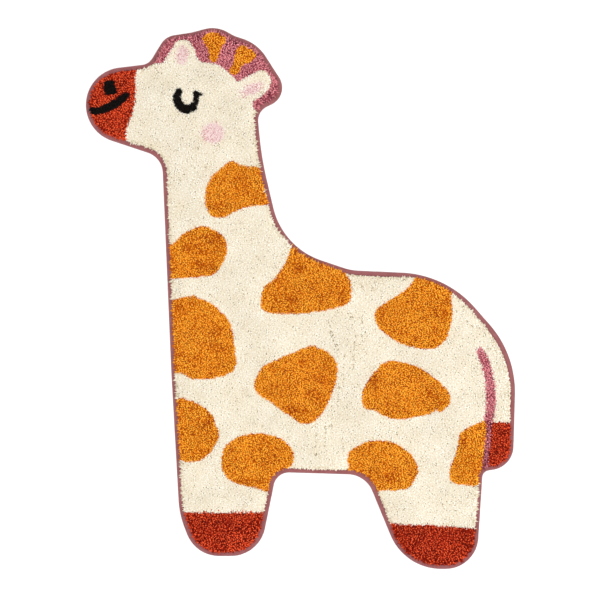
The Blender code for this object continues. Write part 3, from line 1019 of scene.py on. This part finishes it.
@dataclass
class Pile:
    """The cut pile: close yarn ends that lean in slow swirls, in a piece or more for each yarn."""

    outline: Outline
    design: Design
    ground: Ground
    # On the crown
    pitch: float = 1.95  # between yarn ends
    scatter: float = 0.45  # mm that one strays from its place
    first_inset: float = 11.2  # of the outermost yarn ends that stand on the crown
    top: float = 14.1
    uneven: float = 0.55  # mm that a yarn end stands above or below its neighbours
    lump: float = 0.6
    lean: float = 1.5  # mm that a cut end stands aside from its root
    lean_shares: tuple[float, float] = (0.4, 1.5)  # the least and the most of it
    lean_spread: float = 0.6  # radians that a lean strays from the swirl of the pile
    fine_lean: float = 0.65  # share of the lean that is lost in the small black features
    # Towards the rim, where the pile leans out over the tape
    rim_lean: float = 0.6  # share of the swirl's lean that is lost
    rim_fade: float = 2.5  # mm inwards over which its reach and its fall fade
    rim_fall: float = 3.6  # mm that the cut ends lie lower
    reach_shares: tuple[float, float] = (0.6, 1.35)  # the least and the most of its reach
    overhang: float = 0.3  # mm more that it leans out, so that its jags show
    verge_blend: float = 6.0  # mm over which one verge passes into the next
    # In rows up its side
    side_pitch: float = 2.0
    side_rows: tuple[Profile, ...] = (
        Profile(9.5, 5.1), Profile(9.7, 6.1), Profile(10.1, 7.0), Profile(10.6, 7.7)
    )
    side_scatter: tuple[float, float] = (0.2, 0.5)  # mm that a yarn end strays outwards and along its row
    side_shares: tuple[float, float] = (0.6, 1.4)  # the least and the most of its reach
    side_hold: float = 0.5  # share of the reach that the highest row would lose
    side_spread: float = 1.0  # mm that a cut end strays along its row
    side_length: float = 1.5  # mm from the lowest row up to its cut ends
    side_growth: float = 3.3  # mm more at the crown's height
    side_uneven: float = 0.5
    side_rimness: float = 0.3  # how much less the highest row counts as rim
    # Of one yarn end
    root_radius: float = 0.7
    end_radius: float = 1.25
    girths: tuple[float, float] = (0.85, 1.15)  # the least and the most of its radius
    bend: float = 0.75  # share of its height below its bend
    bend_aside: float = 0.5  # share of that share by which the bend stands aside
    root_depth: float = 0.6
    cell_radii: tuple[float, float] = (0.46, 0.25)  # of its rings on its cell of the map
    seen_at: float = 0.8  # share of the way to its tip where its place in the design is read
    # Its shade, from 0, the deepest, to 1, the lightest
    plain_tone: float = 0.67
    # clouds of painted light and shade
    cloud_tone: float = 0.1
    # painted shade in the spots
    spot_shade_tone: float = 0.2
    # tone of the flecks: painted shade between the yarn ends
    fleck_tone: float = 0.08
    rim_root: float = 0.45  # how much of the root's colour the cut ends at the rim show: painted shade there
    # How much more of the yarn's share of flecks there is
    cloud_flecks: float = 1.1  # fewer in the light clouds
    spot_flecks: float = 3.2
    parting_flecks: float = 0.7  # share of all yarn ends in a parting
    fleck_limits: tuple[float, float] = (0.15, 5.0)
    # Over how many mm inwards, or how much of a swell, these set in
    parting_edge: tuple[float, float] = (-1.0, 0.8)
    dash_edge: tuple[float, float] = (-0.9, 0.9)
    rubbed_edge: tuple[float, float] = (-4.0, 4.0)
    # How many mm lower its cut ends lie
    spot_drop: float = 0.4
    border_drop: float = 0.7  # where two yarns meet
    border_width: float = 1.5
    fleck_drop: float = 2.0
    parting_drop: float = 1.5
    most: int = 22000  # yarn ends in one piece, under the limit of triangles a piece

    def reach_at(self, at: Array) -> Array:
        """How far the pile at the rim leans out over the tape: as the nearest verges say, with jags."""
        total, weights = np.zeros(len(at)), np.zeros(len(at))
        for verge in VERGES:
            weight = 1.0 / (np.hypot(at[:, 0] - verge.x, at[:, 1] - verge.y) + self.verge_blend) ** 3
            total += weight * verge.inset
            weights += weight
        return self.side_rows[0].inset + self.overhang - total / weights + swell(at, JAG_SWELL)

    def crown(self, rng: np.random.Generator) -> Yarns:
        """Yarn ends on a staggered grid over the crown, each leaning along the swirl of the pile."""
        low, high = self.outline.points.min(axis=0), self.outline.points.max(axis=0)
        rows = np.arange(low[1], high[1], self.pitch * ROW)
        columns = np.arange(low[0], high[0], self.pitch)
        shift = 0.5 * self.pitch * (np.arange(len(rows)) % 2)
        across = columns[None, :] + shift[:, None]
        grid = np.stack((across, np.repeat(rows[:, None], len(columns), axis=1)), axis=2).reshape(-1, 2)
        grid += rng.normal(0.0, self.scatter, grid.shape)
        tone, chance = (grain(rng, len(rows), len(columns)) for _ in range(2))
        luck = np.argsort(np.argsort(chance)) / len(chance)
        inset, away = self.outline.inset(grid)
        kept = inset > self.first_inset
        grid, inset, away, tone, luck = grid[kept], inset[kept], away[kept], tone[kept], luck[kept]
        count = len(grid)
        heading = swell(grid, LEAN_SWELL) + rng.normal(0.0, self.lean_spread, count)
        along = np.stack((np.cos(heading), np.sin(heading)), axis=1)
        size = self.lean * rng.uniform(*self.lean_shares, count)
        size *= 1.0 - self.fine_lean * self.design.fineness(grid)
        rimness = np.exp(-(inset - self.ground.foot_inset) / self.rim_fade)
        lean = (size * (1.0 - self.rim_lean * rimness))[:, None] * along
        lean += (self.reach_at(grid) * rimness * rng.uniform(*self.reach_shares, count))[:, None] * away
        top = self.top + self.lump * swell(grid, TOP_SWELL) - self.rim_fall * rimness
        top += rng.normal(0.0, self.uneven, count)
        root = np.column_stack((grid, self.ground.height(inset) - self.root_depth))
        return Yarns(root, np.column_stack((grid + lean, top)), tone, luck, rimness**2)

    def side(self, rng: np.random.Generator) -> Yarns:
        """Yarn ends in rows up the side of the pile."""
        parts = []
        outwards, sideways = self.side_scatter
        for number, row in enumerate(self.side_rows):
            places, away, _ = self.outline.stations(self.side_pitch)
            places, away = (0.5 * (each + np.roll(each, number % 2, axis=0)) for each in (places, away))
            count = len(places)
            tangent = away[:, ::-1] * (-1.0, 1.0)
            at = places - (row.inset + rng.normal(0.0, outwards, count))[:, None] * away
            at += rng.normal(0.0, sideways, count)[:, None] * tangent
            rise = (row.height - self.ground.foot) / (self.ground.crown - self.ground.foot)
            reach = self.reach_at(at) * (1.0 - self.side_hold * rise) * rng.uniform(*self.side_shares, count)
            lean = reach[:, None] * away + rng.normal(0.0, self.side_spread, count)[:, None] * tangent
            top = row.height + self.side_length + self.side_growth * rise
            top = top + rng.normal(0.0, self.side_uneven, count)
            root = np.column_stack((at, np.full(count, row.height - 0.5 * self.root_depth)))
            tone, luck = rng.normal(0.0, 1.0, count), rng.uniform(0.0, 1.0, count)
            rimness = np.full(count, 1.0 - self.side_rimness * rise)
            parts.append(Yarns(root, np.column_stack((at + lean, top)), tone, luck, rimness))
        return Yarns.joined(parts)

    def build(self) -> list[bpy.types.Object]:
        """Builds and dresses every piece of the pile.

        Returns:
            The pieces.
        """
        rng = np.random.default_rng(SEED)
        ends = Yarns.joined([self.crown(rng), self.side(rng)])
        yarn, tone = self.shades(ends, rng)
        # painted shade at the rim: the cut ends there show more of the root's colour
        shown = 1.0 - self.rim_root * ends.rimness
        rise = np.outer(shown, [0.0] * RING + [self.bend] * RING + [1.0])
        aside = np.array((self.bend_aside, self.bend_aside, 1.0))
        bend = ends.root + self.bend * (ends.tip - ends.root) * aside
        verts = self.bullets(ends.root, bend, ends.tip, rng)
        pieces = []
        for one in Yarn:
            mine = np.flatnonzero(yarn == one.value)
            mine = mine[np.argsort(-verts[mine, 0, 1], kind="stable")]
            material = YARNS[one].material()
            parts = np.array_split(mine, math.ceil(len(mine) / self.most))
            for number, part in enumerate(parts, start=1):
                name = f"{one.name.lower()}_pile" + (f"_{number}" if len(parts) > 1 else "")
                made = place_mesh(name, self.mesh(name, verts[part], tone[part], rise[part]), material)
                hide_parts("pile_panel")
                pieces.append(ride(made))
        return pieces

    def shades(self, ends: Yarns, rng: np.random.Generator) -> tuple[Array, Array]:
        """Gives the yarn ends their yarns and tones, painted light and shade among them, and lowers some.

        Args:
            ends: all the yarn ends, whose tips are lowered.
            rng: makes the borders of the design ragged.

        Returns:
            The yarns' numbers, and the tones from 0 to 1.
        """
        seen = (ends.root + self.seen_at * (ends.tip - ends.root))[:, :2]
        yarn, border, shade = self.design.paint(seen, rng)
        # partings: more flecks there, in painted shade
        parted = np.max([smooth_step(crease.depth(seen), *self.parting_edge) for crease in PARTINGS], axis=0)
        parted *= smooth_step(swell(seen, DASH_SWELL), *self.dash_edge)
        # spots of painted shade
        spot_shade = np.max([smooth_step(spot.depth(seen), *self.rubbed_edge) for spot in SHADE_SPOTS], axis=0)
        # clouds of painted light and shade
        cloud = swell(seen, CLOUD_SWELL)
        flecks, mottle, dimming = (
            np.array([getattr(YARNS[one], name) for one in Yarn])[yarn]
            for name in ("flecks", "mottle", "dimming")
        )
        more = np.clip(1.0 - self.cloud_flecks * cloud, *self.fleck_limits) + self.spot_flecks * spot_shade
        fleck = (ends.luck < flecks * more + self.parting_flecks * parted).astype(float)
        ends.tip[:, 2] -= (
            self.spot_drop * spot_shade
            + self.border_drop * np.exp(-border / self.border_width)
            + (self.fleck_drop + self.parting_drop * parted) * fleck
        )
        # painted light and shade in the clouds, and painted shade in the spots
        tone = self.plain_tone + mottle * ends.tone + self.cloud_tone * cloud - self.spot_shade_tone * spot_shade
        # painted shade at the rim
        tone = tone + shade - dimming * ends.rimness
        # the flecks take the painted shade of the gaps between yarn ends
        return yarn, np.clip(tone * (1.0 - fleck) + self.fleck_tone * fleck, 0.0, 1.0)

    def bullets(self, root: Array, bend: Array, tip: Array, rng: np.random.Generator) -> Array:
        """The seven points of each yarn end: a ring at its root, a wider ring at its bend, and its tip."""
        count = len(root)
        spin = rng.uniform(0.0, math.tau, count)
        girth = rng.uniform(*self.girths, count)
        verts = np.empty((count, POINTS, 3))
        for ring, (centre, run, radius) in enumerate(
            ((root, bend - root, self.root_radius), (bend, tip - bend, self.end_radius))
        ):
            axis = unit(run)
            side = unit(np.cross(axis, np.array(SKEW)))
            other = np.cross(axis, side)
            for corner in range(RING):
                turn = spin + math.tau * corner / RING
                offset = np.cos(turn)[:, None] * side + np.sin(turn)[:, None] * other
                verts[:, RING * ring + corner] = centre + (radius * girth)[:, None] * offset
        verts[:, -1] = tip
        return verts

    def mesh(self, name: str, verts: Array, tone: Array, rise: Array) -> bpy.types.Mesh:
        """Makes the mesh of some yarn ends.

        Args:
            name: the mesh's name.
            verts: their points in mm.
            tone: the shade of each.
            rise: how much of the shade, not of the root's colour, each point shows.

        Returns:
            The mesh, with "tone", "rise" and a map that gives each yarn end a small cell of its own.
        """
        count = len(verts)
        # Of one yarn end: three faces up its side, and three from its bend to its tip
        faces = [(0, 1, 4, 3), (1, 2, 5, 4), (2, 0, 3, 5), (3, 4, 6), (4, 5, 6), (5, 3, 6)]
        corners = np.array([number for face in faces for number in face])
        starts = np.cumsum([0] + [len(face) for face in faces[:-1]])
        loops = (POINTS * np.arange(count)[:, None] + corners[None, :]).ravel()
        data = bpy.data.meshes.new(name)
        data.vertices.add(POINTS * count)
        data.vertices.foreach_set("co", (verts * MM).astype(np.float32).ravel())
        data.loops.add(len(loops))
        data.loops.foreach_set("vertex_index", loops)
        data.polygons.add(len(faces) * count)
        first = (len(corners) * np.arange(count)[:, None] + starts[None, :]).ravel()
        data.polygons.foreach_set("loop_start", first)
        data.polygons.foreach_set("use_smooth", np.ones(len(first), dtype=bool))
        data.update(calc_edges=True)
        for label, values in (("tone", np.repeat(tone, POINTS)), ("rise", rise.ravel())):
            made = data.attributes.new(label, "FLOAT", "POINT")
            made.data.foreach_set("value", values.astype(np.float32))
        columns = math.ceil(math.sqrt(count))
        cell = np.stack((np.arange(count) % columns, np.arange(count) // columns), axis=1) + 0.5
        turns = math.tau * np.arange(RING) / RING + math.radians(90)
        star = np.stack((np.cos(turns), np.sin(turns)), axis=1)
        star = np.concatenate([radius * star for radius in self.cell_radii] + [np.zeros((1, 2))])
        spots = ((cell[:, None, :] + star[None, :, :]) / columns)[:, corners]
        data.uv_layers.new(name="OFBake").data.foreach_set("uv", spots.astype(np.float32).ravel())
        return data


@dataclass
class EdgeTape:
    """The tape, folded over the rim all the way round, and the line of stitches that holds it."""

    outline: Outline
    spacing: float = 2.6  # between stations along the tape
    thickness: float = 1.0
    on_top: float = 9.0
    below: float = 12.0
    top: float = 4.6
    fold: float = 1.9  # rounding of its outer folds
    fold_steps: int = 5
    groove: float = 0.35  # depth of the groove that the lower row of stitches presses into it
    groove_insets: tuple[float, ...] = (8.6, 8.0, 6.8, 6.2)  # of its edges and its floor
    upper_side: tuple[Profile, ...] = (  # heights above its top: a low swell that falls to its upper edge
        Profile(3.6, 0.1),
        Profile(5.6, 0.12),
        Profile(7.6, 0.02),
        Profile(8.7, -0.05),
        Profile(9.0, -0.35),
    )
    pucker: float = 0.16
    pucker_length: float = 8.0
    pucker_from: float = 3.7  # height above which it puckers

    def section(self) -> list[Profile]:
        """Its cross-section, from the lower edge out, over the fold, in to the upper edge and back inside."""
        quarter = np.linspace(0.0, 0.5 * math.pi, self.fold_steps)
        low = [(1 - math.sin(t), 1 - math.cos(t)) for t in quarter]
        high = [(1 - math.cos(t), 1 - math.sin(t)) for t in quarter]
        return [
            Profile(self.below, 0.0),
            *map(Profile, self.groove_insets, (0.0, self.groove, self.groove, 0.0)),
            *(Profile(self.fold * inwards, self.fold * up) for inwards, up in low),
            *(Profile(self.fold * inwards, self.top - self.fold * down) for inwards, down in high),
            *(Profile(point.inset, self.top + point.height) for point in self.upper_side),
            Profile(self.on_top, self.top - self.thickness),
            Profile(self.thickness, self.top - self.thickness),
            Profile(self.thickness, self.thickness),
            Profile(self.below, self.thickness),
        ]

    def build(self) -> bpy.types.Object:
        """Builds and dresses the tape.

        Returns:
            The piece, which stands for the CAD tape.
        """
        rng = np.random.default_rng(SEED + 1)
        places, away, along = self.outline.stations(self.spacing)
        section = self.section()
        count = len(places)
        knots = rng.normal(0.0, 1.0, round(self.outline.length / self.pucker_length))
        stops = np.linspace(0.0, self.outline.length, len(knots) + 1)
        gather = np.interp(along, stops, np.append(knots, knots[0]))
        width = np.cumsum([0.0] + [math.dist(a, b) for a, b in zip(section, section[1:])])
        verts, ribbon = [], []
        for point, across in zip(section, width):
            raised = self.pucker * gather * math.sin(math.pi * min(1.0, point.inset / self.on_top))
            raised = raised if point.height > self.pucker_from else np.zeros(count)
            at = places - point.inset * away
            verts.append(np.column_stack((at, point.height + raised)))
            ribbon.append(np.column_stack((along, np.full(count, across), np.zeros(count))))
        data = bpy.data.meshes.new("edge_tape")
        rows = len(section)
        faces = [
            (row * count + station, row * count + (station + 1) % count,
             (row + 1) % rows * count + (station + 1) % count, (row + 1) % rows * count + station)
            for row in range(rows)
            for station in range(count)
        ]
        data.from_pydata((np.concatenate(verts) * MM).tolist(), [], faces)
        data.shade_smooth()
        data.attributes.new("ribbon", "FLOAT_VECTOR", "POINT").data.foreach_set(
            "vector", np.concatenate(ribbon).astype(np.float32).ravel()
        )
        mesh = bmesh.new()
        mesh.from_mesh(data)
        bmesh.ops.recalc_face_normals(mesh, faces=mesh.faces[:])
        mesh.to_mesh(data)
        mesh.free()
        made = place_mesh("edge_tape", data, TapeFinish().material())
        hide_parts("edge_binding")
        return ride(made)


@dataclass
class Stitches:
    """The lockstitch along the tape: a row of short, slightly sunken stitches on top and one below."""

    outline: Outline
    pitch: float = 3.6
    length: float = 2.9
    radius: float = 0.32
    sides: int = 6
    inset: float = 7.4
    top: float = 4.72
    bottom: float = 0.4
    # The rings of a stitch: where along it, the share of its radius, and mm that it is pulled in
    rings: tuple[tuple[float, float, float], ...] = (
        (-0.5, 0.45, 0.25), (-0.28, 1.0, 0.0), (0.28, 1.0, 0.0), (0.5, 0.45, 0.25)
    )

    def build(self) -> bpy.types.Object:
        """Builds and dresses both rows as one piece.

        Returns:
            The piece.
        """
        places, away, _ = self.outline.stations(self.pitch)
        along = np.stack((-away[:, 1], away[:, 0]), axis=1)
        centre = places - self.inset * away
        turns = np.linspace(0.0, math.tau, self.sides, endpoint=False)
        ring = [(math.cos(turn), math.sin(turn)) for turn in turns]
        steps = [(corner, (corner + 1) % self.sides) for corner in range(self.sides)]
        verts, faces = [], []
        for height in (self.top, self.bottom):
            for spot, forward, side in zip(centre, along, away):
                start = len(verts)
                for share, girth, drop in self.rings:
                    lift = -drop if height == self.top else drop
                    for across, up in ring:
                        x, y = spot + forward * share * self.length + side * across * girth * self.radius
                        verts.append((x * MM, y * MM, (height + lift + up * girth * self.radius) * MM))
                last = len(verts) - self.sides
                for low in range(start, last, self.sides):
                    high = low + self.sides
                    faces += [(low + here, low + there, high + there, high + here) for here, there in steps]
                faces.append(tuple(range(start + self.sides - 1, start - 1, -1)))
                faces.append(tuple(range(last, last + self.sides)))
        data = bpy.data.meshes.new("tape_stitches")
        data.from_pydata(verts, [], faces)
        data.shade_smooth()
        made = place_mesh("tape_stitches", data, ThreadFinish().material())
        return ride(made)


# --- Studio ---


class Lamp(NamedTuple):
    """A square soft light that faces the middle of the rug: its place and size in metres, and its power."""

    name: str
    place: tuple[float, float, float]
    size: float
    power: float


@dataclass
class Studio:
    """A pale floor, soft light and a camera straight above."""

    width: float = 0.998  # metres of the rug's level that the picture spans
    lens: float = 110.0
    sensor: float = 36.0
    centre: tuple[float, float] = (-0.0008, -0.0025)
    level: float = 0.004
    floor_size: float = 60.0
    floor_drop: float = 0.0003  # metres that the floor is below the rug
    sky: float = 1.72  # strength of the world's light
    lamps: tuple[Lamp, ...] = (
        Lamp("key", (0.2, -0.2, 3.0), 0.8, 41.0),
        Lamp("fill", (1.8, -1.0, 2.4), 2.4, 12.5),
    )

    def build(self) -> None:
        """Builds the floor, the lights, the world and the camera."""
        self.floor()
        self.lights()
        self.world()
        self.camera()

    def floor(self) -> None:
        """A wide matt floor just under the rug, which the light turns white."""
        half = 0.5 * self.floor_size
        corners = [(x * half, y * half, -self.floor_drop) for x, y in ((-1, -1), (1, -1), (1, 1), (-1, 1))]
        data = bpy.data.meshes.new("studio_floor")
        data.from_pydata(corners, [], [(0, 1, 2, 3)])
        paper = {"Base Color": linear("#e4e4e4"), "Roughness": 1.0, "Specular IOR Level": 0.0}
        material, _, _ = start_material("matt white studio paper", paper)
        place_mesh("studio_floor", data, material)

    def lights(self) -> None:
        """A soft key almost straight above, and a weaker, wider fill from the lower right."""
        for lamp in self.lamps:
            light = bpy.data.lights.new(lamp.name, "AREA")
            light.size = lamp.size
            light.energy = lamp.power
            made = bpy.data.objects.new(lamp.name, light)
            made.location = lamp.place
            made.rotation_euler = (-Vector(lamp.place)).to_track_quat("-Z", "Y").to_euler()
            bpy.context.collection.objects.link(made)

    def world(self) -> None:
        """A pale world: light at the horizon, where the floor meets it, dimmer over that, white overhead."""
        world = bpy.data.worlds.new("studio")
        bpy.context.scene.world = world
        world.use_nodes = True
        tree = world.node_tree
        back = tree.nodes["Background"]
        way = add_node(tree, "ShaderNodeTexCoord")
        parts = add_node(tree, "ShaderNodeSeparateXYZ", links={0: way.outputs["Generated"]})
        stops = ((0.0, "#d6d6d6"), (0.1, "#d6d6d6"), (0.3, "#aaaaaa"), (1.0, "#ffffff"))
        sky = add_node(tree, "ShaderNodeValToRGB", {"stops": stops}, {"Fac": parts.outputs["Z"]})
        tree.links.new(sky.outputs["Color"], back.inputs["Color"])
        back.inputs["Strength"].default_value = self.sky

    def camera(self) -> None:
        """A long lens straight above, the head at the top of the picture."""
        lens = bpy.data.cameras.new("above")
        lens.lens = self.lens
        lens.sensor_width = self.sensor
        lens.clip_end = 100.0
        made = bpy.data.objects.new("above", lens)
        made.location = (*self.centre, self.level + self.width * self.lens / self.sensor)
        bpy.context.collection.objects.link(made)
        bpy.context.scene.camera = made


def main() -> None:
    """Builds the studio and the rug."""
    logging.basicConfig(level=logging.INFO, format="%(name)s: %(message)s")
    bpy.context.scene.view_settings.view_transform = "Standard"
    Studio().build()
    outline = Outline(ROUNDS)
    design = Design(AREAS)
    ground = Ground(outline, design)
    cloth = ground.build()
    pieces = Pile(outline, design, ground).build()
    tape = EdgeTape(outline).build()
    stitches = Stitches(outline).build()


if __name__ == "__main__":
    main()
